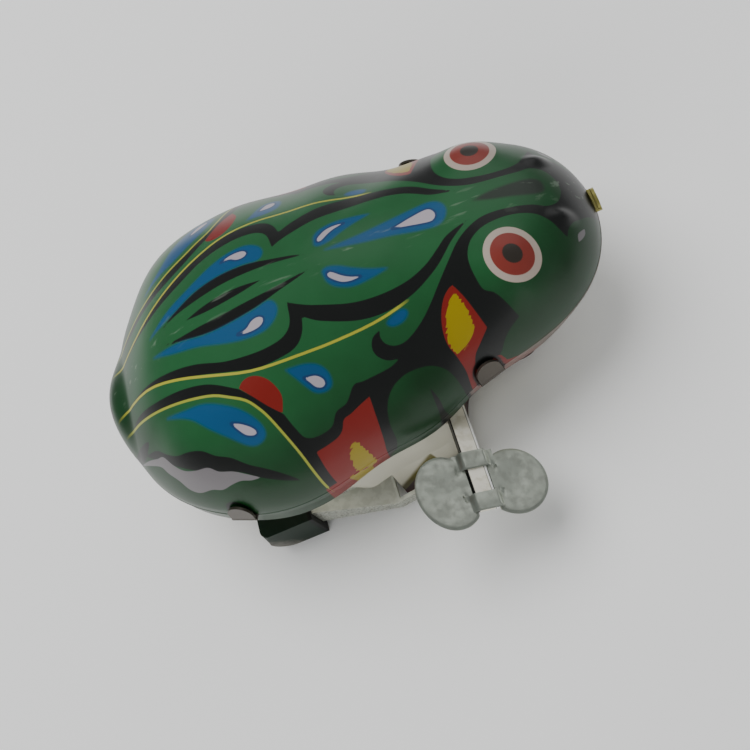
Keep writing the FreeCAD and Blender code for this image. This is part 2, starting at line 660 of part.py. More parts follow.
def build_foot(side):
    """Sheet box closed over the arm's end, with a slot for the arm's flange and top."""
    long, wide, high = dim("foot_long"), dim("foot_wide"), dim("foot_high")
    rear, outer = -24.6, 23.4
    foot = Part.makeBox(long, wide, high, V(rear, outer - wide, 0))
    lower_rear = [e for e in foot.Edges
                  if all(abs(v.X - rear) < 1e-6 and abs(v.Z) < 1e-6 for v in e.Vertexes)]
    foot = foot.makeFillet(dim("foot_round"), lower_rear)
    arm_rear, arm_outer = ARM_PLAN[0]
    end, low, high = arm_rear - FOOT_GAP, ARM_LOW[2][1] - FOOT_GAP, TOP + FOOT_GAP
    front = rear + long + 1
    (low_x, _), (_, rise_z) = ARM_LOW[3:]
    slot = [(end, high), (front, high), (front, low), (low_x - FOOT_GAP, low), (end, rise_z - FOOT_GAP)]
    flange_y = arm_outer - SHEET - FOOT_GAP
    foot = foot.cut(prism([(x, flange_y, z) for x, z in slot], (0, SHEET + 2 * FOOT_GAP, 0)))
    foot = foot.cut(Part.makeBox(front - end, wide, SHEET + 2 * FOOT_GAP,
                                 V(end, arm_outer + FOOT_GAP - wide, TOP - SHEET - FOOT_GAP)))
    return foot if side > 0 else foot.mirror(V(0, 0, 0), V(0, 1, 0))


made(build_lever(), "kick_lever")
made(build_foot(RIGHT), "foot_right")
made(build_foot(LEFT), "foot_left")

for side, word in ((RIGHT, "right"), (LEFT, "left")):
    low, high = sorted((side * 20.8, side * 24.08))
    cap_low = side * 24.08 if side > 0 else side * 24.08 - 0.6
    shank = rod("lever_shank_" + word, "dims.rivet_radius", high - low,
                ("dims.pivot_x", low, "dims.pivot_z"))
    cap = rod("lever_cap_" + word, "1.9", "0.6", ("dims.pivot_x", cap_low, "dims.pivot_z"))
    node(fuse("lever_rivet_body_" + word, [shank, cap]), "lever_rivet_" + word)


def build_return_spring():
    low, high, radius, wire = 9.6, 18.4, 0.8, 0.14
    at = V(-14.2, 4.6, low)
    helix = Part.makeHelix(0.62, high - low, radius)
    helix.translate(at)
    section = Part.Wire(Part.makeCircle(wire, at + V(radius, 0, 0), V(0, 1, 0)))
    return Part.Wire(helix.Edges).makePipeShell([section], True, True)


made(build_return_spring(), "return_spring")


# ---------------------------------------------------------------- check and write

doc.recompute()
for obj in doc.Objects:
    if "Invalid" in obj.State or "Error" in obj.State:
        raise RuntimeError("%s does not recompute: %s" % (obj.Label, obj.State))
os.makedirs("parts", exist_ok=True)
for obj in NODES:
    shape = obj.Shape
    if shape.isNull() or not shape.isValid():
        raise RuntimeError("%s has no sound shape" % obj.Label)
    shape.exportStep("parts/%s.step" % obj.Label)
    b = shape.BoundBox
    print("%-20s x %7.2f %7.2f  y %7.2f %7.2f  z %7.2f %7.2f  solids %d  volume %.1f"
          % (obj.Label, b.XMin, b.XMax, b.YMin, b.YMax, b.ZMin, b.ZMax,
             len(shape.Solids), shape.Volume))
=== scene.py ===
import math

import bmesh
import bpy
import numpy as np
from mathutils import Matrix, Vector


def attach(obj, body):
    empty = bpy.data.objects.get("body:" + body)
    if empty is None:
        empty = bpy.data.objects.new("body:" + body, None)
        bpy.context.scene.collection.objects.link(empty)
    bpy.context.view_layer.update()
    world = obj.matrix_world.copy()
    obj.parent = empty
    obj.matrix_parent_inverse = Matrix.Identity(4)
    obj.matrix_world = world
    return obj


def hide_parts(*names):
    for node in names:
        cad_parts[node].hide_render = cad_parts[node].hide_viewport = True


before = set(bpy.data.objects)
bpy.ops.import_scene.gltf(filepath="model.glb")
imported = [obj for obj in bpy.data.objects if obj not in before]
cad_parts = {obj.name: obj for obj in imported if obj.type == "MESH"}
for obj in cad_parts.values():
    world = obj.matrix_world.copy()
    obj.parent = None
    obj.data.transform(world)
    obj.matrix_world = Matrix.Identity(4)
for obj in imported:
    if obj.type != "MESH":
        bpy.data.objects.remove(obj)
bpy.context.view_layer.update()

MM = 0.001

# ------------------------------------------------------------------ sizes, in millimetres

FOLD = 16.0            # height of the crease where the shell turns down into its band
HALF_LENGTH = 38.0
GIRTH_END = 37.9       # the girth is measured to just short of the tips
TIN = 0.4
GRID = 288             # cells along each side of the square that is wrapped on to the dome
INNER_GRID = GRID // 4
KEY_AT = (9.7, -30.2, 12.0)
KEY_TILT = 27.0
COIL_AT = (-14.2 * MM, 4.6 * MM, 9.6 * MM)
RIVETS_AT = (10.0 * MM, 0.0, 0.0)
RIM_COSINES = (29.9, -2.1, 7.4, 1.9, 0.8, 0.6, 0.1, -0.3, -0.3)
CROWN_KNOTS = (16.7, 18.7, 17.4, 15.4, 14.1, 17.1, 21.0)
CROWN = 1.70


# ------------------------------------------------------------------ body form

def rim_radius(phi):
    return sum(c * np.cos(k * phi) for k, c in enumerate(RIM_COSINES))


def between(a, b, c, d, t):
    """The curve through a, b, c and d, at the share t of the way from b to c."""
    return b + 0.5 * t * (c - a + t * (2 * a - 5 * b + 4 * c - d + t * (3 * (b - c) + d - a)))


def crown_height(x):
    """Smooth curve through the evenly spaced heights, from tail to nose."""
    last = len(CROWN_KNOTS) - 1
    u = np.clip((x / HALF_LENGTH + 1) / 2 * last, 0, last)
    i = np.minimum(u.astype(int), last - 1)
    knots = np.array(CROWN_KNOTS)
    return between(*[knots[np.clip(i + k, 0, last)] for k in (-1, 0, 1, 2)], u - i)


def bump(x, y, at, reach):
    d = np.hypot((x - at[0]) / reach[0], (y - at[1]) / reach[1])
    return np.cos(np.minimum(d, 1.0) * math.pi / 2) ** 2


# eye, thigh, nostril and tail: height, place and reach of each pressed bump
PRESSED = [(0.9, (25.0, 9.8), (6.4, 6.0)), (0.8, (-21.0, 16.0), (13.0, 8.0)),
           (0.5, (33.2, 5.0), (2.2, 1.8)), (1.6, (-36.2, 0.0), (3.4, 11.0))]
RIM_FADE = 0.12        # angle above the crease over which the bumps die away


def swell(x, y, angle):
    """How far the pressed features stand out of the plain dome, the same on both sides."""
    out = sum(height * bump(x, np.abs(y), at, reach) for height, at, reach in PRESSED)
    return out * np.minimum(1.0, (math.pi / 2 - angle) / RIM_FADE)


def plain_dome(angle, phi):
    r = rim_radius(phi) * np.sin(angle)
    x, y = r * np.cos(phi), r * np.sin(phi)
    lift = np.clip(1.0 - np.abs(np.sin(angle)) ** CROWN, 0, None) ** (1.0 / CROWN)
    return np.stack([x, y, FOLD + crown_height(x) * lift], -1)


def dome_normal(angle, phi):
    step = 1e-4
    a = np.clip(angle, 2 * step, math.pi / 2 - step)
    n = np.cross(plain_dome(a + step, phi) - plain_dome(a - step, phi),
                 plain_dome(a, phi + step) - plain_dome(a, phi - step))
    n[..., 2] = np.where(angle > math.pi / 2 - 1e-6, 0.0, n[..., 2])
    return n / np.linalg.norm(n, axis=-1, keepdims=True)


def disc_grid(cells):
    """Square grid wrapped on to the dome: angle from the top, and direction round it."""
    u = np.linspace(-1, 1, cells + 1)
    u, v = np.meshgrid(u, u, indexing="ij")
    x, y = u * np.sqrt(1 - v * v / 2), v * np.sqrt(1 - u * u / 2)
    angle = np.minimum(np.hypot(x, y), 1.0) * math.pi / 2
    edge = (np.abs(u) == 1) | (np.abs(v) == 1)
    return np.where(edge, math.pi / 2, angle), np.arctan2(y, x)


def edge_loop(cells):
    """Grid vertex numbers round the rim, in order."""
    n = cells + 1
    side = np.arange(cells)
    return np.concatenate([side * n, cells * n + side, (cells - side) * n + cells, cells - side])


def half_width(x):
    phi = np.linspace(0, math.pi, 3000)
    r = rim_radius(phi)
    return np.interp(x, (r * np.cos(phi))[::-1], (r * np.sin(phi))[::-1])


def girth(x, y):
    """Length round the body from the middle of the back to a point of the plain dome."""
    xs = np.linspace(-GIRTH_END, GIRTH_END, 380)
    ts = np.linspace(0, math.pi / 2, 160)
    w = np.maximum(half_width(xs), 0.05)
    yy = w[:, None] * np.sin(ts)[None, :]
    xx = np.repeat(xs[:, None], len(ts), 1)
    phi = np.arctan2(yy, xx)
    rho = np.clip(np.hypot(xx, yy) / rim_radius(phi), 0, 1)
    rho[:, -1] = 1.0
    p = plain_dome(np.arcsin(rho), phi)
    run = np.cumsum(np.hypot(np.diff(p[..., 1], axis=1), np.diff(p[..., 2], axis=1)), axis=1)
    table = np.concatenate([np.zeros((len(xs), 1)), run], 1)
    cx = np.clip(x, xs[0], xs[-1])
    fx = (cx - xs[0]) / (xs[1] - xs[0])
    ft = np.arcsin(np.clip(np.abs(y) / np.maximum(half_width(cx), 0.05), 0, 1)) / (ts[1] - ts[0])
    i, j = np.minimum(fx.astype(int), len(xs) - 2), np.minimum(ft.astype(int), len(ts) - 2)
    a, b = fx - i, ft - j
    low = table[i, j] * (1 - b) + table[i, j + 1] * b
    high = table[i + 1, j] * (1 - b) + table[i + 1, j + 1] * b
    return low * (1 - a) + high * a


# ------------------------------------------------------------------ printed outlines
# Each point is (x, s): x along the body and s the length round it from the middle of the back.
# A third value of 1 marks a sharp corner; between corners the outline is a smooth curve.

BLACK_FIELDS = {
    "hip_swirl": [(-34, 3.4), (-28, 4.1), (-22, 5.6), (-18, 6.9), (-14, 8.6), (-10, 9.4), (-7, 9.4),
                  (-5, 8.8), (-3.8, 7.4), (-3.3, 4.7, 1), (-2, 5.5), (0, 6.4), (4, 7.6), (8, 7.8),
                  (12, 7.3), (15, 6.2), (17, 4.9), (19, 3.5), (22.2, 2.5, 1), (20.5, 3.6), (19, 4.7),
                  (17, 6.5), (15, 7.8), (12, 9.2), (8, 10.2), (4, 10.1), (0, 8.7), (-2.1, 7.3, 1),
                  (-2.8, 9.3), (-4.2, 10.8), (-6.5, 11.4), (-10, 11.4), (-14, 10.1), (-18, 8.5),
                  (-22, 7.0), (-28, 4.9), (-34, 3.8, 1)],
    "flank": [(6.4, 12.2, 1), (5.2, 12.9), (4.6, 14.2), (4.8, 15.4), (5.8, 16.3), (7.2, 16.5, 1),
              (5.5, 17.3), (2, 17.9), (0.5, 18.0), (-1.3, 19.9), (-3, 20.6), (-4.4, 22.3),
              (-6.5, 22.8), (-8, 22.3), (-8.6, 20.6), (-9.1, 18.4, 1), (-10.4, 16.4), (-13.3, 12.9, 1),
              (-17, 10.4), (-21, 8.9), (-26, 7.6), (-31, 6.3), (-34, 6.6, 1), (-30, 7.8), (-24, 9.6),
              (-20, 10.9), (-17, 12.0), (-15, 13.2), (-13, 14.6), (-11.8, 16.3), (-11, 18.1),
              (-10.2, 21), (-9.6, 24), (-9.3, 28), (-9.2, 37, 1), (2, 37, 1), (-0.4, 31, 1),
              (1.2, 29.5), (2.0, 27.5), (2.3, 25), (2.9, 22.8), (3.8, 21.1), (5, 19.8), (6.3, 19.0),
              (7.5, 18.6), (9, 18.5), (10.5, 18.8), (11.8, 19.9), (12.4, 21.5), (12.6, 23.5),
              (12.5, 25.4, 1), (12.6, 30, 1), (16, 30, 1), (18.5, 22.2), (19.3, 21), (20.3, 19.5),
              (21.5, 18.3), (23.2, 17.1, 1), (22.4, 14.5), (21.6, 12.9), (20.5, 12), (20.2, 10),
              (20.2, 8.3), (20.5, 7), (21.2, 5.8), (22.2, 4.9), (23.6, 4.2), (25.2, 3.85), (27, 3.7),
              (29, 3.9), (30.6, 4.5), (31.7, 5.7), (32.4, 7.1), (32.8, 8.1, 1), (33.4, 6.8),
              (34.2, 5.9), (35.4, 5.2), (37, 4.3), (41, 3.6, 1), (41, -4, 1), (34.5, -4, 1),
              (34.6, 0), (34.3, 1.6), (33.4, 2.9), (32, 3.35), (30.4, 2.9), (28, 2.65), (25.5, 2.6),
              (23.5, 2.9), (21.5, 3.8), (19.8, 5.0), (18, 6.8), (16.6, 8.2), (15, 9.8), (13.8, 11),
              (12, 12.6), (10, 14), (8.5, 14.7), (7.2, 14.7), (6.3, 14.0), (6.1, 13)],
    "side_leaf": [(-23, 1.1, 1), (-20, 1.8), (-16, 2.1), (-12, 2.3), (-8, 2.2), (-4, 1.9),
                  (0.9, 1.2, 1), (-1, 1.9), (-4, 2.7), (-7, 3.5), (-11, 3.95), (-15, 3.7),
                  (-20, 2.3)],
    "middle_leaf": [(-18, 0, 1), (-15, 0.5), (-12, 0.65), (-9, 0.5), (-5.8, 0, 1), (-9, -0.5),
                    (-12, -0.65), (-15, -0.5)],
    "arm_wedge": [(9.0, 21.2, 1), (9.4, 23.5), (9.3, 26), (9.7, 29, 1), (7.7, 29, 1), (8.5, 25.8),
                  (8.8, 23.4)],
    "hind_wedge": [(-33, 11.2, 1), (-30, 12.4), (-28, 14.2), (-26, 15.6), (-23.5, 16.4),
                   (-21.5, 17.4), (-20, 18.9), (-18.2, 20.2), (-16.5, 22.2), (-14.5, 24.0),
                   (-12.6, 26.0), (-11.3, 27.8, 1), (-13.6, 26.4), (-16, 24.6), (-18, 22.6),
                   (-20.8, 20.9), (-24, 18.9), (-27.6, 16), (-29, 14), (-31, 13)],
    "tail_patch": [(-39, 9, 1), (-34, 9.4), (-31, 10.4), (-33, 11.4), (-36, 10.8, 1)],
}
BAR = [(23.6, 0.1, 1), (26, 0.7), (28.5, 1.05), (30.5, 1.3), (31.9, 1.3), (32.7, 0.7), (32.7, -0.7),
       (31.9, -1.3), (30.5, -1.3), (28.5, -1.05), (26, -0.7)]
RED_FIELDS = {
    "half_disc": [(-13.3, 12.8, 1), (-12.6, 12.2), (-11.5, 12.0), (-10.3, 12.4), (-9.2, 13.4),
                  (-8.5, 14.9), (-8.4, 16.3), (-9.2, 18.2, 1), (-10.5, 16.6), (-12, 14.5)],
    "cheek": [(17.1, 9.9, 1), (15.6, 11.0), (14.4, 12.8), (13.6, 15.0), (13.4, 17.0), (13.8, 19.0),
              (14.0, 21.5), (13.6, 24.5), (13.2, 30, 1), (26, 30, 1), (26, 23.6, 1), (20, 23.2),
              (19.2, 22.4), (18.9, 21.6), (18.3, 21.4, 1), (15.4, 22.2), (15.9, 20),
              (17.4, 18.4), (18.9, 16.9, 1), (18.5, 14.6), (17.9, 12.0)],
    "knee": [(-7.7, 24.8, 1), (-6, 24.5), (-4.4, 24), (-3.4, 23.2), (-2.6, 21.9), (-1.5, 21.5),
             (0, 20.8), (1.7, 20.1, 1), (1.1, 24), (0.5, 27), (-0.2, 30), (-1.2, 37, 1),
             (-10, 37, 1), (-9.6, 31.3, 1), (-7.8, 31, 1), (-7.8, 28)],
}
FLAME_FIELDS = {
    "cheek_flame": [(17.1, 11.0, 1), (16.0, 11.7), (15.0, 13.1), (14.1, 15), (13.6, 16.6),
                    (13.7, 17.9), (14.1, 18.8, 1), (15.9, 17.9), (17.3, 16.4), (17.6, 15),
                    (17.6, 13.6), (17.4, 12.4)],
    "knee_flame": [(-2.6, 25.3, 1), (-3.5, 26.0), (-4.3, 27.3), (-4.7, 29.0), (-4.8, 30.9, 1),
                   (-1.9, 30.9, 1), (-1.9, 28.6), (-2.2, 27.0)],
    "band_flame": [(-6.3, 31.15, 1), (-3.2, 31.15, 1), (-2.2, 34.5, 1), (-5.4, 35, 1)],
}
BLUE_FIELDS = {
    "rear_drop": [(-25, 1.6, 1), (-20, 2.5), (-16, 3.7), (-12, 4.1), (-8, 3.9), (-5.6, 3.5),
                  (-4.8, 4.6), (-5.4, 6.0), (-7.2, 7.1), (-10, 7.1), (-13, 6.3), (-17, 4.7),
                  (-21, 3.4)],
    "back_drop": [(2.4, 3.2), (2.4, 2.2), (3.2, 1.9), (4.6, 2.3), (6, 3.1), (8, 4.0),
                  (10.2, 4.7, 1), (8, 5.2), (5.5, 5.5), (3.5, 4.9), (2.6, 4.0)],
    "side_drop": [(-6.5, 13.2, 1), (-4, 13.4), (-2.5, 14.1), (-1.8, 15.4), (-2.0, 16.9), (-3, 17.5),
                  (-4.2, 17.2), (-5, 16.0), (-5.6, 14.8)],
    "thigh_drop": [(-25.5, 10.6, 1), (-22, 11.6), (-19, 12.3), (-16.5, 13.6), (-14.2, 15.4),
                   (-12.7, 17.6), (-12.4, 19.4), (-13.4, 20.3), (-15, 20.0), (-17, 17.8),
                   (-19, 15.6), (-21.5, 12.9)],
    "shoulder_spot": [(7.6, 11.7), (8.5, 11.0), (10, 10.6), (10.4, 11.2), (9.5, 12.0), (8.2, 12.2)],
}
BLUE_MIDDLE = [(3.5, -0.9, 1), (8, -1.5), (12, -2.1), (16, -2.4), (18.5, -2.3), (19.8, -1.3),
               (19.9, 0.2), (18.6, 1.5), (16, 1.2), (12, 0.2), (8, -0.3)]
WHITE_FIELDS = {
    "rear_drop": [(-11, 6.1, 1), (-9.6, 5.9), (-8.6, 5.2), (-7.6, 5.05), (-7.0, 5.5), (-7.4, 6.2),
                  (-8.4, 6.5), (-9.8, 6.45)],
    "back_drop": [(3.0, 2.6), (3.6, 2.9), (4.4, 3.6), (5.4, 4.2), (6.7, 4.6, 1), (5.4, 4.75),
                  (4.2, 4.5), (3.2, 3.7), (2.8, 3.1)],
    "side_drop": [(-4.8, 15, 1), (-3.4, 15.2), (-2.7, 15.9), (-2.7, 16.6), (-3.2, 16.9),
                  (-3.9, 16.6), (-4.4, 15.7)],
    "thigh_drop": [(-16, 16.4, 1), (-14.9, 17.0), (-13.8, 18.0), (-13.4, 18.8), (-13.8, 19.1),
                   (-14.8, 18.6), (-15.5, 17.5)],
}
WHITE_MIDDLE = [(12.6, -0.7, 1), (15, -1.2), (17, -1.45), (18, -1.3), (18.5, -0.5), (18.4, 0.2),
                (17.8, 0.6), (16.5, 0.35), (14.5, -0.2)]
GREY_FIELDS = {
    "nostril_mark": [(33.9, 8.7, 1), (34.2, 7.6), (34.8, 7.0), (35.3, 6.6, 1), (35.1, 7.4),
                     (34.5, 8.2)],
    # the hind wedge is white print painted grey, as painted shade
    "hind_wedge": [(-35.5, 10.8, 1), (-32.5, 12.2), (-30.5, 13.3), (-29, 14.0), (-27.6, 16),
                   (-26, 17.8), (-24, 18.9), (-22, 19.6), (-20.8, 20.9), (-19, 21.9), (-17.5, 23.2),
                   (-16, 24.6, 1), (-17.4, 24.3), (-18.8, 23.6), (-20.4, 23.4), (-22, 23.3),
                   (-23.5, 22.4), (-25.6, 21.7), (-27, 20.3), (-28, 18.2), (-29.4, 16.2),
                   (-30.4, 14.6), (-32.5, 13.0)],
}
BACK_LINE = [(-37, 4.2), (-34, 3.6), (-28, 4.7), (-22, 7.0), (-16, 9.6), (-11, 11.4), (-6, 11.95),
             (1, 11.8), (6, 11.1), (11.2, 9.7)]
THIGH_LINE = [(-37, 6.0), (-32, 7.1), (-28, 8.3), (-24, 9.6), (-20, 10.9), (-17, 12.0), (-15, 13.2),
              (-13, 14.6), (-11.8, 16.3), (-11, 18.1), (-10.2, 21), (-9.6, 24), (-9.35, 27),
              (-9.2, 31)]
EYE_AT = (25.5, 8.95)


def smooth(points, closed=True, steps=5):
    """Curve through the points, broken at the corners."""
    n = len(points)
    sharp = [len(p) > 2 for p in points]
    flat = [np.array(p[:2], float) for p in points]
    out = []
    for i in range(n if closed else n - 1):
        j = (i + 1) % n
        b, c = flat[i], flat[j]
        a = b - (c - b) if sharp[i] or (not closed and i == 0) else flat[i - 1]
        last = not closed and j == n - 1
        d = c + (c - b) if sharp[j] or last else flat[(j + 1) % n]
        out += [between(a, b, c, d, k / steps) for k in range(steps)]
    if not closed:
        out.append(flat[-1])
    return np.array(out)


FAR = 3.0              # distances past this are all the same to the print


def inside_distance(x, s, points):
    """Distance to a closed outline, positive inside, clipped to FAR."""
    line = smooth(points)
    out = np.full(x.shape, -FAR)
    near = ((x > line[:, 0].min() - FAR) & (x < line[:, 0].max() + FAR)
            & (s > line[:, 1].min() - FAR) & (s < line[:, 1].max() + FAR))
    px, py = x[near], s[near]
    best = np.full(px.shape, FAR ** 2)
    inside = np.zeros(px.shape, bool)
    for a, b in zip(line, np.roll(line, -1, 0)):
        ex, ey = b - a
        wx, wy = px - a[0], py - a[1]
        t = np.clip((wx * ex + wy * ey) / max(ex * ex + ey * ey, 1e-9), 0, 1)
        best = np.minimum(best, (wx - ex * t) ** 2 + (wy - ey * t) ** 2)
        crosses = (a[1] > py) != (b[1] > py)
        if ey != 0:
            inside ^= crosses & (px < a[0] + ex * (py - a[1]) / ey)
    d = np.sqrt(best)
    out[near] = np.where(inside, d, -d)
    return out


def side_of_line(x, s, points):
    """Distance from an open line, positive on its left."""
    line = smooth(points, closed=False, steps=3)
    best = np.full(x.shape, 1e9)
    out = np.full(x.shape, FAR)
    for a, b in zip(line[:-1], line[1:]):
        ex, ey = b - a
        wx, wy = x - a[0], s - a[1]
        t = np.clip((wx * ex + wy * ey) / (ex * ex + ey * ey), 0, 1)
        d2 = (wx - ex * t) ** 2 + (wy - ey * t) ** 2
        closer = d2 < best
        best = np.where(closer, d2, best)
        out = np.where(closer, np.sign(ex * wy - ey * wx) * np.sqrt(d2), out)
    return np.clip(out, -FAR, FAR)


def union(x, s, fields):
    return np.max([inside_distance(x, s, points) for points in fields.values()], axis=0)


def ragged(x, s, depth):
    """Brush-stroke teeth along the flames' leading edges."""
    teeth = np.abs(((s * 1.25 + x * 0.9 + 0.3 * np.sin(2.1 * s)) % 1.0) - 0.5) * 2 - 0.6
    return depth * teeth * (1.0 + 0.6 * np.sin(3.3 * s + x))


# ------------------------------------------------------------------ mesh helpers

def mesh_piece(name, points_mm, faces, material, layers=None):
    mesh = bpy.data.meshes.new(name)
    mesh.from_pydata((np.asarray(points_mm) * MM).tolist(), [], [tuple(f) for f in faces])
    for label, values in (layers or {}).items():
        layer = mesh.attributes.new(label, "FLOAT", "POINT")
        layer.data.foreach_set("value", np.asarray(values, dtype=np.float32))
    mesh.materials.append(material)
    mesh.polygons.foreach_set("use_smooth", [True] * len(mesh.polygons))
    mesh.validate()
    mesh.update()
    piece = bpy.data.objects.new(name, mesh)
    bpy.context.scene.collection.objects.link(piece)
    return piece


def grid_faces(cells, start=0, flip=False):
    n = cells + 1
    i, j = np.meshgrid(np.arange(cells), np.arange(cells), indexing="ij")
    a = (i * n + j + start).ravel()
    quad = np.stack([a, a + n, a + n + 1, a + 1], -1)
    return quad[:, ::-1] if flip else quad


def loop_faces(upper, lower):
    """Quads between two closed loops of the same length."""
    a, b = np.asarray(upper), np.asarray(lower)
    return np.stack([a, b, np.roll(b, -1), np.roll(a, -1)], -1)


# ------------------------------------------------------------------ materials

def srgb(text):
    """sRGB hex to the linear colour that the shader takes."""
    parts = [int(text[i:i + 2], 16) / 255 for i in (1, 3, 5)]
    return tuple(c / 12.92 if c <= 0.04045 else ((c + 0.055) / 1.055) ** 2.4 for c in parts) + (1.0,)


def feed(tree, item, inputs):
    """Sets a node's inputs. A value is a constant or another node's output socket."""
    for key, value in inputs.items():
        if isinstance(value, bpy.types.NodeSocket):
            tree.links.new(value, item.inputs[key])
        else:
            item.inputs[key].default_value = value


def add(tree, kind, inputs=None, **settings):
    item = tree.nodes.new(kind)
    for key, value in settings.items():
        setattr(item, key, value)
    feed(tree, item, inputs or {})
    return item


def material(name):
    made = bpy.data.materials.new(name)
    made.use_nodes = True
    tree = made.node_tree
    shader = tree.nodes["Principled BSDF"]
    return made, tree, shader


def place(tree):
    """The shaded point's own x, y and z, in metres."""
    where = add(tree, "ShaderNodeTexCoord").outputs["Object"]
    return add(tree, "ShaderNodeSeparateXYZ", {0: where}).outputs


def layer_value(tree, name):
    return add(tree, "ShaderNodeAttribute", attribute_name=name).outputs["Fac"]


def edge_mask(tree, value, low, high):
    """0 below low, 1 above high, smooth between: the crispness of a printed edge."""
    ramp = add(tree, "ShaderNodeMapRange", {0: value, 1: low, 2: high}, interpolation_type="SMOOTHSTEP")
    return ramp.outputs[0]


def over(tree, below, top, mask):
    mix = add(tree, "ShaderNodeMix", {0: mask, 6: below, 7: top}, data_type="RGBA")
    return mix.outputs[2]


def noise(tree, size_mm, detail, stretch=(1, 1, 1)):
    where = add(tree, "ShaderNodeTexCoord").outputs["Object"]
    mapped = add(tree, "ShaderNodeMapping", {"Vector": where, "Scale": stretch}).outputs[0]
    made = add(tree, "ShaderNodeTexNoise", {"Vector": mapped, "Scale": 1 / (size_mm * MM),
                                            "Detail": detail})
    return made.outputs["Fac"]


def maths(tree, operation, a, b=0.0):
    return add(tree, "ShaderNodeMath", {0: a, 1: b}, operation=operation).outputs[0]


def lithographed_tinplate():
    """Offset-printed enamel inks under clear varnish on pressed tinplate: flat colours with
    crisp edges, softer airbrushed blues, a wet-looking gloss and fine rub marks on the back. The
    base green is painted lighter towards the top of the dome as painted light from above."""
    made, tree, shader = material("lithographed_tinplate")
    crisp = 0.05
    green_shaded, green_lit = srgb("#022E0C"), srgb("#17552C")
    # painted light from above: the base green gets lighter towards the top of the dome, with random
    # mottle added
    lit_top_tone = edge_mask(tree, place(tree)[2], 20 * MM, 30 * MM)
    mottle = maths(tree, "MULTIPLY", noise(tree, 5.0, 3.0), 0.5)
    lit_top_tone = maths(tree, "ADD", lit_top_tone, maths(tree, "SUBTRACT", mottle, 0.25))
    colour = over(tree, green_shaded, green_lit, add(tree, "ShaderNodeClamp", {0: lit_top_tone}).outputs[0])

    def paint(layer, hex_colour, low=-crisp, high=crisp, most=1.0):
        nonlocal colour
        mask = maths(tree, "MULTIPLY", edge_mask(tree, layer_value(tree, layer), low, high), most)
        colour = over(tree, colour, srgb(hex_colour), mask)

    def thin_line(layer, width, start, end, hex_colour):
        nonlocal colour
        off = maths(tree, "ABSOLUTE", layer_value(tree, layer))
        body = add(tree, "ShaderNodeMapRange", {0: off, 1: width / 2 + 0.08, 2: width / 2 - 0.04},
                   interpolation_type="SMOOTHSTEP").outputs[0]
        along = layer_value(tree, "print_x")
        ends = maths(tree, "MULTIPLY", edge_mask(tree, along, start, start + 3.0),
                     add(tree, "ShaderNodeMapRange", {0: along, 1: end, 2: end - 2.0}).outputs[0])
        colour = over(tree, colour, srgb(hex_colour), maths(tree, "MULTIPLY", body, ends))

    paint("black", "#0B0D0B")
    paint("bar", "#1B1F1A", -0.3, 0.35, 0.9)
    paint("blue", "#054670", -0.42, 0.25, 0.97)
    paint("red", "#74150D")
    paint("yellow", "#8E7C08")
    paint("white", "#10305A", -0.34, -0.22, 0.8)
    paint("white", "#A39AA2")
    # grey: the nostril mark, and the hind wedge, which is white print painted grey as painted shade
    paint("grey", "#6C686A")
    thin_line("back_line", 0.32, -36.0, 11.5, "#A3A030")
    thin_line("thigh_line", 0.30, -36.0, 3.0, "#949833")
    paint("eye", "#A89A8E", -3.62, -3.52)
    paint("eye", "#7A2E26", -2.76, -2.64)
    paint("eye", "#2C2620", -1.30, -1.16)
    paint("mouth", "#7A6A62", -0.2, 0.2, 0.75)
    # painted shadow round the tabs: dark slit outline, contact line and the patches at nose and tail
    paint("painted_tab_shadow", "#0B0D0B", 0.0, 0.35, 0.95)
    rubs = noise(tree, 0.9, 4.0, (0.12, 1.0, 1.0))
    pale_patches = maths(tree, "MULTIPLY", edge_mask(tree, rubs, 0.60, 0.72), layer_value(tree, "ridge"))
    colour = over(tree, colour, srgb("#8FA08C"), maths(tree, "MULTIPLY", pale_patches, 0.28))
    ripple = add(tree, "ShaderNodeBump", {"Height": noise(tree, 6.0, 1.0), "Strength": 0.12,
                                          "Distance": 0.3 * MM}).outputs[0]
    feed(tree, shader, {"Base Color": colour, "Roughness": 0.34, "IOR": 1.5, "Coat Weight": 0.05,
                        "Coat Roughness": 0.12, "Normal": ripple})
    return made


def cream_enamel():
    """Cream stoving enamel on the belly pan with an airbrushed olive edge and maroon keel; the
    turned tabs show bare tinplate."""
    made, tree, shader = material("cream_enamel")
    x, _, z = place(tree)
    cream, olive, maroon, tin = srgb("#B4B1A0"), srgb("#5C5626"), srgb("#3C1C1A"), srgb("#4E4840")
    # the olive edge climbs forward along the keel wall and ends in a small hook
    slant = add(tree, "ShaderNodeMapRange", {0: x, 1: -3.0 * MM, 2: 3.2 * MM, 3: 1.5 * MM, 4: 5.5 * MM})
    hook = maths(tree, "MULTIPLY", edge_mask(tree, x, 3.2 * MM, 4.4 * MM), 3.4 * MM)
    above = maths(tree, "ADD", maths(tree, "SUBTRACT", z, slant.outputs[0]), hook)
    colour = over(tree, olive, cream, edge_mask(tree, above, 0.1 * MM, 1.1 * MM))
    colour = over(tree, maroon, colour, edge_mask(tree, above, -0.75 * MM, -0.6 * MM))
    tab = edge_mask(tree, z, 15.7 * MM, 15.8 * MM)
    nose = edge_mask(tree, x, 36.5 * MM, 37 * MM)
    colour = over(tree, colour, tin, tab)
    colour = over(tree, colour, srgb("#A29A55"), maths(tree, "MULTIPLY", tab, nose))
    feed(tree, shader, {"Base Color": colour, "Metallic": maths(tree, "MULTIPLY", tab, 0.7),
                        "Roughness": 0.36, "Coat Weight": 0.3, "Coat Roughness": 0.15})
    return made


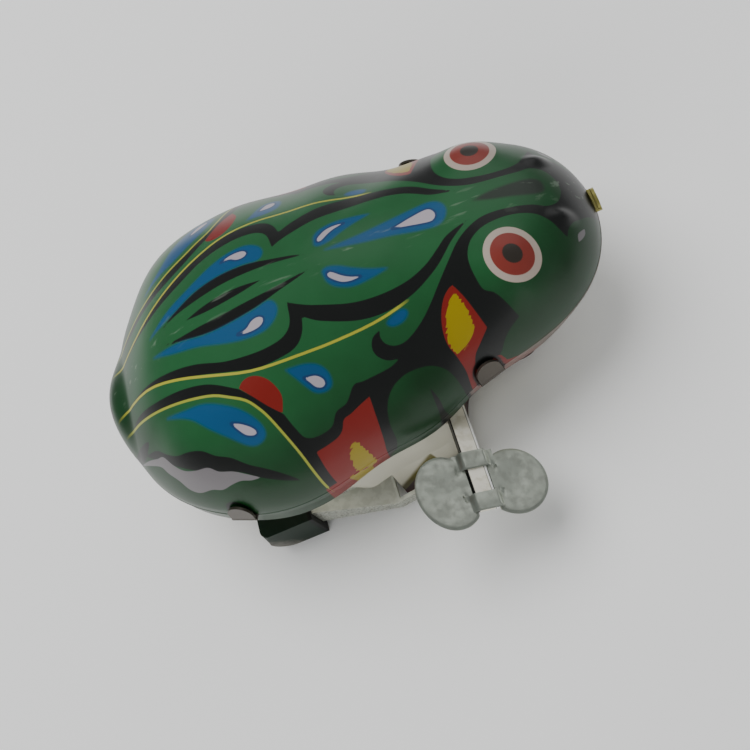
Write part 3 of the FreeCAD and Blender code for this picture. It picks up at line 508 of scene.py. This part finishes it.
def metal(name, hex_colour, rough, grain_mm, grain=0.12, mottled=None):
    """Bare or plated metal with fine grain, drawn coarse enough to show, and uneven polish. A
    mottled colour gives broad cloudy patches, as zinc plating has."""
    made, tree, shader = material(name)
    colour = over(tree, srgb(hex_colour), srgb(mottled or hex_colour),
                  edge_mask(tree, noise(tree, grain_mm * 6, 4.0), 0.42, 0.62))
    wear = add(tree, "ShaderNodeMapRange", {0: noise(tree, grain_mm * 3, 4.0), 1: 0.3, 2: 0.7,
                                            3: rough - 0.08, 4: rough + 0.12}).outputs[0]
    pits = add(tree, "ShaderNodeBump", {"Height": noise(tree, grain_mm, 4.0), "Strength": grain,
                                        "Distance": 0.1 * MM}).outputs[0]
    feed(tree, shader, {"Base Color": colour, "Metallic": 1.0, "Roughness": wear, "Normal": pits})
    return made


FOLD_LINE, GROOVE_LINE, SEAM_LINE = 1.05, 0.98, -1.14     # across the strip, from its middle


def folded_tinplate_strip():
    """Doubled tinplate strip of the winding shaft: bright rolled faces, a painted highlight along
    the fold at one edge with a painted shade line in the crease beside it, and painted shadow in
    the open seam along the other."""
    made, tree, shader = material("folded_tinplate_strip")
    x, _, z = place(tree)
    tilt = math.radians(KEY_TILT)
    across = maths(tree, "SUBTRACT",
                   maths(tree, "MULTIPLY", maths(tree, "SUBTRACT", x, KEY_AT[0] * MM), math.cos(tilt)),
                   maths(tree, "MULTIPLY", maths(tree, "SUBTRACT", z, KEY_AT[2] * MM), math.sin(tilt)))
    face = over(tree, srgb("#F6F2E2"), srgb("#E4DFCA"), edge_mask(tree, noise(tree, 1.6, 4.0), 0.45, 0.6))
    # painted highlight along the fold, painted shade line in the crease beside it, painted shadow in the
    # open seam
    fold_highlight = edge_mask(tree, across, FOLD_LINE * MM, (FOLD_LINE + 0.07) * MM)
    seam_shadow = edge_mask(tree, across, SEAM_LINE * MM, (SEAM_LINE - 0.08) * MM)
    groove_shade = edge_mask(tree, across, GROOVE_LINE * MM, (GROOVE_LINE + 0.04) * MM)
    colour = over(tree, face, srgb("#F4F4F0"), fold_highlight)
    colour = over(tree, colour, srgb("#0C0C0B"), seam_shadow)
    colour = over(tree, colour, srgb("#6E6A5E"), maths(tree, "SUBTRACT", groove_shade, fold_highlight))
    feed(tree, shader, {"Base Color": colour, "Metallic": 0.5, "Roughness": 0.34})
    return made


def bare_lever_tinplate():
    """Bare tinplate of the kick lever: a smooth top painted bright and sideways flanges painted
    darker, as painted light and shade, the flanges also speckled with grey.
    """
    made, tree, shader = material("bare_lever_tinplate")
    facing = add(tree, "ShaderNodeSeparateXYZ", {0: add(tree, "ShaderNodeNewGeometry").outputs["Normal"]})
    flange = edge_mask(tree, maths(tree, "ABSOLUTE", facing.outputs[1]), 0.75, 0.95)
    top = over(tree, srgb("#ECEEE2"), srgb("#DDDFD2"), edge_mask(tree, noise(tree, 1.2, 3.0), 0.42, 0.62))
    speckle = edge_mask(tree, noise(tree, 0.30, 4.0), 0.46, 0.60)
    # painted light and shade: the top is painted bright, the sideways-facing flanges darker; the flanges
    # also carry grey speckle
    side = over(tree, srgb("#A9ABA0"), srgb("#7C7E73"), speckle)
    feed(tree, shader, {"Base Color": over(tree, top, side, flange), "Metallic": 0.25,
                        "Roughness": 0.46})
    return made


def dark_green_enamel():
    """Dark green printed tin of the hind feet, grey in patches towards the lower rear curl, with
    the front end painted near black as painted shadow.
    """
    made, tree, shader = material("dark_green_enamel")
    x, _, z = place(tree)
    # grey in ragged patches towards the lower rear curl
    low_rear = maths(tree, "ADD", z, maths(tree, "MULTIPLY", x, 1.1))
    patchy = maths(tree, "ADD", low_rear, maths(tree, "MULTIPLY", noise(tree, 0.7, 5.0), 3.4 * MM))
    pale_patches = add(tree, "ShaderNodeMapRange", {0: patchy, 1: -19.0 * MM, 2: -22.4 * MM},
               interpolation_type="SMOOTHSTEP").outputs[0]
    # painted shadow: the front end of the foot is painted near black
    front_shadow = edge_mask(tree, x, -17.0 * MM, -16.6 * MM)
    colour = over(tree, srgb("#071C0F"), srgb("#040504"), front_shadow)
    colour = over(tree, colour, srgb("#5E5C55"), pale_patches)
    feed(tree, shader, {"Base Color": colour, "Roughness": 0.5, "Specular IOR Level": 0.3})
    return made


PRINT = lithographed_tinplate()
PAN = cream_enamel()
TIN_INSIDE = metal("plain_tinplate_inside", "#8B8A84", 0.38, 0.4)
KEY_STEEL = metal("zinc_plated_key_steel", "#BFC5B8", 0.38, 0.30, 0.15, "#B6BBAF")
STRIP_STEEL = folded_tinplate_strip()
LEVER_STEEL = bare_lever_tinplate()
MOTOR_STEEL = metal("motor_sheet_steel", "#8D8E8B", 0.36, 0.4)
WHEEL_BRASS = metal("stamped_wheel_brass", "#C2A45E", 0.30, 0.3, 0.1, "#B0904C")
SPRING_STEEL = metal("blued_spring_steel", "#4A5160", 0.30, 0.3)
RIVET_STEEL = metal("rivet_steel", "#9A9B97", 0.30, 0.3)
FOOT_ENAMEL = dark_green_enamel()


# ------------------------------------------------------------------ printed body shell

def band_drop(x):
    rear, snout = 1 / (1 + np.exp((x + 4.0) / 3.0)), 1 / (1 + np.exp((26.0 - x) / 1.5))
    return 1.5 + 1.5 * rear - 0.9 * snout + 0.15 * np.sin(x / 3.0)


TAB_AT = (16.5, -22.0)
TAB_HALF = 1.9
TAB_STRAIGHT = 1.3     # height of a tab's straight part, below its round end


def tab_shadow(x, s, rim_s):
    """Painted shadow: a dark slit outline and contact line round each turned-over tab, and a
    dark patch on the middle of the back at the nose and the tail.
    """
    out = np.full(x.shape, -1.0)
    rise = rim_s - s
    for at in TAB_AT:
        across = (x - at) / (1.0 if at > 0 else 0.8)
        round_edge = np.hypot(across, np.maximum(rise - TAB_STRAIGHT, 0))
        out = np.maximum(out, 0.5 - np.abs(round_edge - TAB_HALF) * 1.2 - (rise < -0.6) * 2.0)
        out = np.maximum(out, 0.6 - np.maximum(np.abs(across) - TAB_HALF, 0) - np.abs(rise) * 1.1)
    for end in (HALF_LENGTH, -HALF_LENGTH):
        near_end = np.abs(x - end) < 2.2
        out = np.maximum(out, np.where(near_end & (s < 2.7), 0.4, -1.0))
    return out


def print_layers(x, s, y):
    """What the print looks up at each point: how far inside each printed field it lies."""
    signed = np.where(y <= 0, s, -s)
    rim_s = girth(x, half_width(np.clip(x, -GIRTH_END, GIRTH_END)))
    return {
        "print_x": x,
        "black": union(x, s, BLACK_FIELDS),
        "bar": inside_distance(x, s, BAR),
        "blue": np.maximum(union(x, s, BLUE_FIELDS), inside_distance(x, signed, BLUE_MIDDLE)),
        "red": union(x, s, RED_FIELDS),
        "yellow": union(x, s, FLAME_FIELDS) + ragged(x, s, 0.30),
        "white": np.maximum(union(x, s, WHITE_FIELDS), inside_distance(x, signed, WHITE_MIDDLE)),
        "grey": union(x, s, GREY_FIELDS),
        "back_line": side_of_line(x, s, BACK_LINE),
        "thigh_line": side_of_line(x, s, THIGH_LINE),
        "eye": -np.hypot((x - EYE_AT[0]) / 0.96, (s - EYE_AT[1]) / 1.06),
        "mouth": np.minimum(s - rim_s - 0.1, x - 13.0),
        "painted_tab_shadow": tab_shadow(x, s, rim_s),
        "ridge": np.exp(-(s / 2.2) ** 2),
    }


# the crease stands out a little, then the band drops to its wavy edge and turns back up inside:
# distance outward, fixed depth, and 1 where the ring follows the wavy edge
BAND_PROFILE = [(0.10, 0.12, 0), (0.03, 0.34, 0), (0.0, 0.55, 0), (0.0, 0.0, 1),
                (-0.5 * TIN, 0.08, 1), (-TIN, 0.0, 1), (-TIN, 0.0, 0)]
INNER_LIFT = 0.25                   # the inner face's rim sits this far above the crease
PER_INNER = GRID // INNER_GRID      # outer rim points to each inner one


def build_shell():
    """The printed dome, its band, and the plain inner face, as one closed sheet."""
    angle, phi = disc_grid(GRID)
    angle, phi = angle.ravel(), phi.ravel()
    base, normal = plain_dome(angle, phi), dome_normal(angle, phi)
    out = swell(base[:, 0], base[:, 1], angle)
    top = base + normal * out[:, None]
    girth_s = girth(base[:, 0], base[:, 1])
    loop = edge_loop(GRID)
    rim, rim_normal, rim_s = top[loop], normal[loop], girth_s[loop]
    points, s_values, x_values = [top], [girth_s], [base[:, 0]]
    faces = [grid_faces(GRID)]
    start = len(top)
    previous = loop
    drop = band_drop(rim[:, 0])
    for outward, down, edge in BAND_PROFILE:
        depth = drop * edge + down
        ring = rim + rim_normal * outward
        ring[:, 2] = FOLD - depth
        points.append(ring)
        s_values.append(rim_s + (depth if depth.any() else drop))
        x_values.append(base[loop, 0])
        current = np.arange(start, start + len(loop))
        faces.append(loop_faces(previous, current))
        previous = current
        start += len(loop)
    # coarser inner face, stitched to the rim several points to one
    a2, p2 = disc_grid(INNER_GRID)
    a2, p2 = a2.ravel(), p2.ravel()
    b2 = plain_dome(a2, p2)
    inner = b2 + dome_normal(a2, p2) * (swell(b2[:, 0], b2[:, 1], a2) - TIN)[:, None]
    inner_loop = edge_loop(INNER_GRID)
    inner[inner_loop, 2] += INNER_LIFT
    points.append(inner)
    s_values.append(girth(b2[:, 0], b2[:, 1]))
    x_values.append(b2[:, 0])
    faces.append(grid_faces(INNER_GRID, start, flip=True))
    coarse = inner_loop + start
    stitch = []
    for k in range(len(coarse)):
        c, d = coarse[k], coarse[(k + 1) % len(coarse)]
        first = PER_INNER * k
        for j in range(first, first + PER_INNER):
            stitch.append((previous[j], previous[(j + 1) % len(previous)], c))
        stitch.append((previous[(first + PER_INNER) % len(previous)], d, c))
    all_points = np.concatenate(points)
    x, s = np.concatenate(x_values), np.concatenate(s_values)
    layers = print_layers(x, s, all_points[:, 1])
    all_faces = [tuple(int(v) for v in f) for block in faces for f in block]
    all_faces += [tuple(int(v) for v in f) for f in stitch]
    piece = mesh_piece("printed_shell", all_points, all_faces, PRINT, layers)
    piece.data.materials.append(TIN_INSIDE)
    inside_from = len(all_faces) - len(stitch) - INNER_GRID ** 2 - len(loop)
    slots = np.zeros(len(piece.data.polygons), dtype=np.int32)
    slots[inside_from:] = 1
    piece.data.polygons.foreach_set("material_index", slots)
    return piece


shell = build_shell()
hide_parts("body_shell")
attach(shell, "frame")

# ------------------------------------------------------------------ winding key

LOBES = {1: {"out": 4.6, "along": -0.9, "long": 4.7, "wide": 4.5, "turn": 8.0},
         -1: {"out": 4.5, "along": -0.7, "long": 5.3, "wide": 4.3, "turn": 8.0}}
LOBE_CUT = 1.55        # straight inner edge of each lobe beside the shaft
LOBE_RINGS, LOBE_SEGMENTS = 22, 96
STRAP_REACH = 2.9      # half the length of a strap, with the part that lies on the lobes
CRIMP_AT = (1.9, -2.1)
SHEET = 0.5
STRAP_RISE = 0.78
WINDOW = 3.7
HUB = 8.4


def pressed(x, y):
    """How far the thumb dish and the crimps beside the window sink into the sheet."""
    dish = math.hypot((abs(x) - 4.6) / 3.5, (y + 0.8) / 4.0)
    sink = 0.16 * math.cos(min(dish, 1.0) * math.pi / 2) ** 2
    for at in CRIMP_AT:
        sink += 0.22 * math.exp(-((abs(x) - 2.45) / 0.22) ** 2 - ((y - at) / 0.6) ** 2)
    return sink


def key_lobe(side):
    """Dished oval blade, cut straight beside the shaft."""
    rings, segments = LOBE_RINGS, LOBE_SEGMENTS
    lobe = LOBES[side]
    turn = math.radians(lobe["turn"]) * -side
    points, faces = [], []
    for face_side in (1, -1):
        for i in range(rings + 1):
            r = i / rings
            for k in range(segments):
                a = 2 * math.pi * k / segments
                u, v = lobe["wide"] * r * math.cos(a), lobe["long"] * r * math.sin(a)
                x = u * math.cos(turn) - v * math.sin(turn) + side * lobe["out"]
                y = u * math.sin(turn) + v * math.cos(turn) + lobe["along"]
                x = side * max(side * x, LOBE_CUT)
                thin = SHEET / 2 * (1 - 0.45 * max(0.0, (r - 0.93) / 0.07) ** 2)
                points.append((x, y, face_side * thin - pressed(x, y)))
    ring = rings + 1
    for layer in (0, 1):
        base = layer * ring * segments
        for i in range(rings):
            for k in range(segments):
                a, b = base + i * segments + k, base + i * segments + (k + 1) % segments
                c, d = b + segments, a + segments
                faces.append((a, d, c, b) if layer == 0 else (a, b, c, d))
    top, bottom = rings * segments, (ring + rings) * segments
    for k in range(segments):
        n = (k + 1) % segments
        faces.append((top + k, bottom + k, bottom + n, top + n))
    return points, faces


def key_strap(y0, y1, over_shaft):
    """Strap bent over (or under) the shaft, running out level into both lobes."""
    across, along = 28, 6
    points, faces = [], []
    for i in range(across + 1):
        x = STRAP_REACH * (2 * i / across - 1)
        reach = min(max((2.25 - abs(x)) / 0.75, 0.0), 1.0)
        h = over_shaft * STRAP_RISE * reach * reach * (3 - 2 * reach)
        for j in range(along + 1):
            y = y0 + (y1 - y0) * j / along
            crown = -0.05 * abs(2 * j / along - 1) ** 3 * over_shaft
            for face_side in (1, -1):
                half = SHEET / 2 * (0.98 if over_shaft > 0 else 0.9)
                points.append((x, y, h + crown - pressed(x, y) + face_side * half))
    row = (along + 1) * 2
    for i in range(across):
        for j in range(along):
            a = i * row + j * 2
            faces.append((a, a + row, a + row + 2, a + 2))
            faces.append((a + 1, a + 3, a + row + 3, a + row + 1))
        for j, flip in ((0, False), (along, True)):
            a = i * row + j * 2
            edge = (a, a + 1, a + row + 1, a + row)
            faces.append(edge[::-1] if flip else edge)
    for i, flip in ((0, True), (across, False)):
        for j in range(along):
            a = i * row + j * 2
            end = (a, a + 1, a + 3, a + 2)
            faces.append(end[::-1] if flip else end)
    return points, faces


def rounded(piece, width_mm, segments=2, angle=40):
    """Broken edges, made real."""
    bevel = piece.modifiers.new("edges", "BEVEL")
    bevel.width = width_mm * MM
    bevel.segments = segments
    bevel.limit_method = "ANGLE"
    bevel.angle_limit = math.radians(angle)
    graph = bpy.context.evaluated_depsgraph_get()
    mesh = bpy.data.meshes.new_from_object(piece.evaluated_get(graph))
    piece.modifiers.clear()
    piece.data = mesh
    return piece


def build_key():
    strap = (HUB - WINDOW) / 2
    parts = [key_lobe(1), key_lobe(-1), key_strap(-HUB / 2, -HUB / 2 + strap, 1),
             key_strap(HUB / 2 - strap, HUB / 2, 1), key_strap(-WINDOW / 2, WINDOW / 2, -1)]
    points, faces = [], []
    c, s = math.cos(math.radians(KEY_TILT)), math.sin(math.radians(KEY_TILT))
    for part_points, part_faces in parts:
        start = len(points)
        points += [(KEY_AT[0] + x * c + z * s, KEY_AT[1] + y, KEY_AT[2] - x * s + z * c)
                   for x, y, z in part_points]
        faces += [tuple(start + v for v in f) for f in part_faces]
    piece = mesh_piece("wing_key", points, faces, KEY_STEEL)
    return rounded(piece, 0.11)


key = build_key()
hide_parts("winding_key")
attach(key, "winder")

# ------------------------------------------------------------------ eased sheet edges

def eased_edges(node_name, body, finish, width_mm, heel_mm=0.0):
    """A piece of folded sheet with its cut edges broken, as tumbling leaves them. A heel width
    rounds the upright edge at the rear outer corner."""
    mesh = bpy.data.meshes.new(node_name + "_sheet")
    work = bmesh.new()
    work.from_mesh(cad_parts[node_name].data)
    bmesh.ops.remove_doubles(work, verts=work.verts, dist=1e-6)
    bmesh.ops.dissolve_limit(work, angle_limit=math.radians(1.0), verts=work.verts, edges=work.edges)
    bmesh.ops.recalc_face_normals(work, faces=work.faces)
    if heel_mm:
        rear, outer = min(v.co.x for v in work.verts), max(abs(v.co.y) for v in work.verts)
        heel = [e for e in work.edges if all(v.co.x < rear + 1e-5 and abs(v.co.y) > outer - 1e-5
                                             for v in e.verts)]
        bmesh.ops.bevel(work, geom=heel, offset=heel_mm * MM, segments=6, profile=0.5, affect="EDGES")
    work.to_mesh(mesh)
    work.free()
    mesh.materials.clear()
    mesh.materials.append(finish)
    piece = bpy.data.objects.new(node_name + "_sheet", mesh)
    bpy.context.scene.collection.objects.link(piece)
    rounded(piece, width_mm, 3, 35)
    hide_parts(node_name)
    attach(piece, body)


for foot_node in ("foot_right", "foot_left"):
    eased_edges(foot_node, "lever", FOOT_ENAMEL, 0.22, heel_mm=1.3)
eased_edges("kick_lever", "lever", LEVER_STEEL, 0.10)

# ------------------------------------------------------------------ repeated and coiled pieces

def grown(name, node_name, body, finish, values, build):
    """Runs a node tree with named inputs once and keeps the result as a plain mesh."""
    tree = bpy.data.node_groups.new(name, "GeometryNodeTree")
    tree.interface.new_socket("Geometry", in_out="OUTPUT", socket_type="NodeSocketGeometry")
    for label in values:
        tree.interface.new_socket(label, in_out="INPUT", socket_type="NodeSocketFloat")
    given = add(tree, "NodeGroupInput").outputs
    shape = build(tree, given)
    real = add(tree, "GeometryNodeRealizeInstances", {0: shape}).outputs[0]
    finished = add(tree, "GeometryNodeSetMaterial", {0: real, "Material": finish}).outputs[0]
    add(tree, "NodeGroupOutput", {0: finished})
    piece = bpy.data.objects.new(name, bpy.data.meshes.new(name + "_seed"))
    bpy.context.scene.collection.objects.link(piece)
    grow = piece.modifiers.new("grow", "NODES")
    grow.node_group = tree
    for item in tree.interface.items_tree:
        if item.in_out == "INPUT":
            grow[item.identifier] = float(values[item.name])
    graph = bpy.context.evaluated_depsgraph_get()
    mesh = bpy.data.meshes.new_from_object(piece.evaluated_get(graph))
    piece.modifiers.clear()
    piece.data = mesh
    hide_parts(node_name)
    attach(piece, body)


def coil_tree(tree, given):
    """Round wire swept along an even helix."""
    path = add(tree, "GeometryNodeCurveSpiral", {"Resolution": 20, "Rotations": given["Turns"],
                                                 "Start Radius": given["Radius"],
                                                 "End Radius": given["Radius"],
                                                 "Height": given["Height"]}).outputs[0]
    wire = add(tree, "GeometryNodeCurvePrimitiveCircle", {"Resolution": 12,
                                                          "Radius": given["Wire"]}).outputs[0]
    swept = add(tree, "GeometryNodeCurveToMesh", {"Curve": path, "Profile Curve": wire,
                                                  "Fill Caps": True}).outputs[0]
    return add(tree, "GeometryNodeTransform", {0: swept, "Translation": COIL_AT}).outputs[0]


def rivet_tree(tree, given):
    """One clenched rivet repeated at the corners of a rectangle."""
    corners = add(tree, "GeometryNodeMeshGrid", {"Size X": given["Length"], "Size Y": given["Width"],
                                                 "Vertices X": 2, "Vertices Y": 2}).outputs[0]
    shank = add(tree, "GeometryNodeMeshCylinder", {"Vertices": 32, "Radius": given["Shank"],
                                                   "Depth": given["Grip"]}).outputs[0]
    half = add(tree, "ShaderNodeMath", {0: given["Grip"], 1: 0.5}, operation="MULTIPLY").outputs[0]
    up = add(tree, "ShaderNodeCombineXYZ", {2: half}).outputs[0]
    low = add(tree, "GeometryNodeTransform", {0: shank, "Translation": up}).outputs[0]
    head = add(tree, "GeometryNodeMeshCone", {"Vertices": 32, "Radius Bottom": given["Head"],
                                              "Radius Top": given["Flat"],
                                              "Depth": given["Height"]}).outputs[0]
    top = add(tree, "ShaderNodeCombineXYZ", {2: given["Grip"]}).outputs[0]
    high = add(tree, "GeometryNodeTransform", {0: head, "Translation": top}).outputs[0]
    rivet = add(tree, "GeometryNodeJoinGeometry").inputs[0]
    for part in (low, high):
        tree.links.new(part, rivet)
    placed = add(tree, "GeometryNodeInstanceOnPoints", {0: corners,
                                                        "Instance": rivet.node.outputs[0]}).outputs[0]
    return add(tree, "GeometryNodeTransform", {0: placed, "Translation": RIVETS_AT}).outputs[0]


grown("return_coil", "return_spring", "frame", SPRING_STEEL,
      {"Turns": 14.2, "Radius": 0.8 * MM, "Height": 8.8 * MM, "Wire": 0.14 * MM}, coil_tree)
grown("clenched_rivets", "frame_rivets", "frame", RIVET_STEEL,
      {"Length": 12 * MM, "Width": 13.2 * MM, "Shank": 0.5 * MM, "Grip": 1.24 * MM, "Head": 0.95 * MM,
       "Flat": 0.7 * MM, "Height": 0.6 * MM}, rivet_tree)

# ------------------------------------------------------------------ finishes of the CAD pieces

FINISHES = {
    "belly_pan": PAN, "winding_arbor": STRIP_STEEL,
    "motor_plate_right": MOTOR_STEEL, "motor_plate_left": MOTOR_STEEL,
    "pillar_rear": RIVET_STEEL, "pillar_upper_front": RIVET_STEEL,
    "pillar_lower_front": RIVET_STEEL, "pillar_keel": RIVET_STEEL,
    "great_wheel": WHEEL_BRASS, "ratchet_wheel": WHEEL_BRASS, "second_pinion": WHEEL_BRASS,
    "second_wheel": WHEEL_BRASS, "cam_pinion": WHEEL_BRASS, "second_arbor": RIVET_STEEL,
    "cam_arbor": RIVET_STEEL, "kick_cam": MOTOR_STEEL, "click": MOTOR_STEEL,
    "click_rivet": RIVET_STEEL, "click_spring": SPRING_STEEL, "mainspring": SPRING_STEEL,
    "lever_rivet_right": RIVET_STEEL, "lever_rivet_left": RIVET_STEEL,
}
for node_name, finish in FINISHES.items():
    node_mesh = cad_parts[node_name].data
    node_mesh.materials.clear()
    node_mesh.materials.append(finish)


# ------------------------------------------------------------------ floor, light and camera

def floor_and_backdrop():
    made, tree, shader = material("pale_floor")
    feed(tree, shader, {"Base Color": srgb("#FCFCFB"), "Roughness": 0.9})
    size = 1.2
    mesh = bpy.data.meshes.new("floor")
    mesh.from_pydata([(-size, -size, 0), (size, -size, 0), (size, size, 0), (-size, size, 0)], [],
                     [(0, 1, 2, 3)])
    mesh.materials.append(made)
    floor = bpy.data.objects.new("floor", mesh)
    bpy.context.scene.collection.objects.link(floor)


def soft_light(name, at, size, watts, mirrored):
    data = bpy.data.lights.new(name, "AREA")
    data.shape = "DISK"
    data.size = size
    data.energy = watts
    lamp = bpy.data.objects.new(name, data)
    lamp.location = at
    lamp.visible_glossy = mirrored
    lamp.rotation_euler = (Vector((0, 0, 0.01)) - Vector(at)).to_track_quat("-Z", "Y").to_euler()
    bpy.context.scene.collection.objects.link(lamp)


def studio():
    floor_and_backdrop()
    soft_light("key_light", (-0.25, 0.30, 0.80), 0.9, 7.6, False)
    soft_light("fill_light", (-0.40, -0.70, 0.25), 0.8, 4.0, False)
    soft_light("sheen_panel", (0.40, 0.52, 0.60), 0.8, 1.0, True)
    soft_light("front_panel", (0.28, -0.85, 0.10), 0.35, 0.22, True)
    world = bpy.data.worlds.new("studio")
    world.use_nodes = True
    world.node_tree.nodes["Background"].inputs[0].default_value = srgb("#E9ECEF")
    world.node_tree.nodes["Background"].inputs[1].default_value = 0.30
    bpy.context.scene.world = world
    lens = bpy.data.cameras.new("camera")
    lens.lens = 48.56
    lens.sensor_width = 36.0
    lens.clip_start = 0.005
    camera = bpy.data.objects.new("camera", lens)
    camera.location = (0.02975, -0.08044, 0.13525)
    camera.rotation_euler = [math.radians(a) for a in (24.587, 21.303, -16.197)]
    bpy.context.scene.collection.objects.link(camera)
    bpy.context.scene.camera = camera


studio()
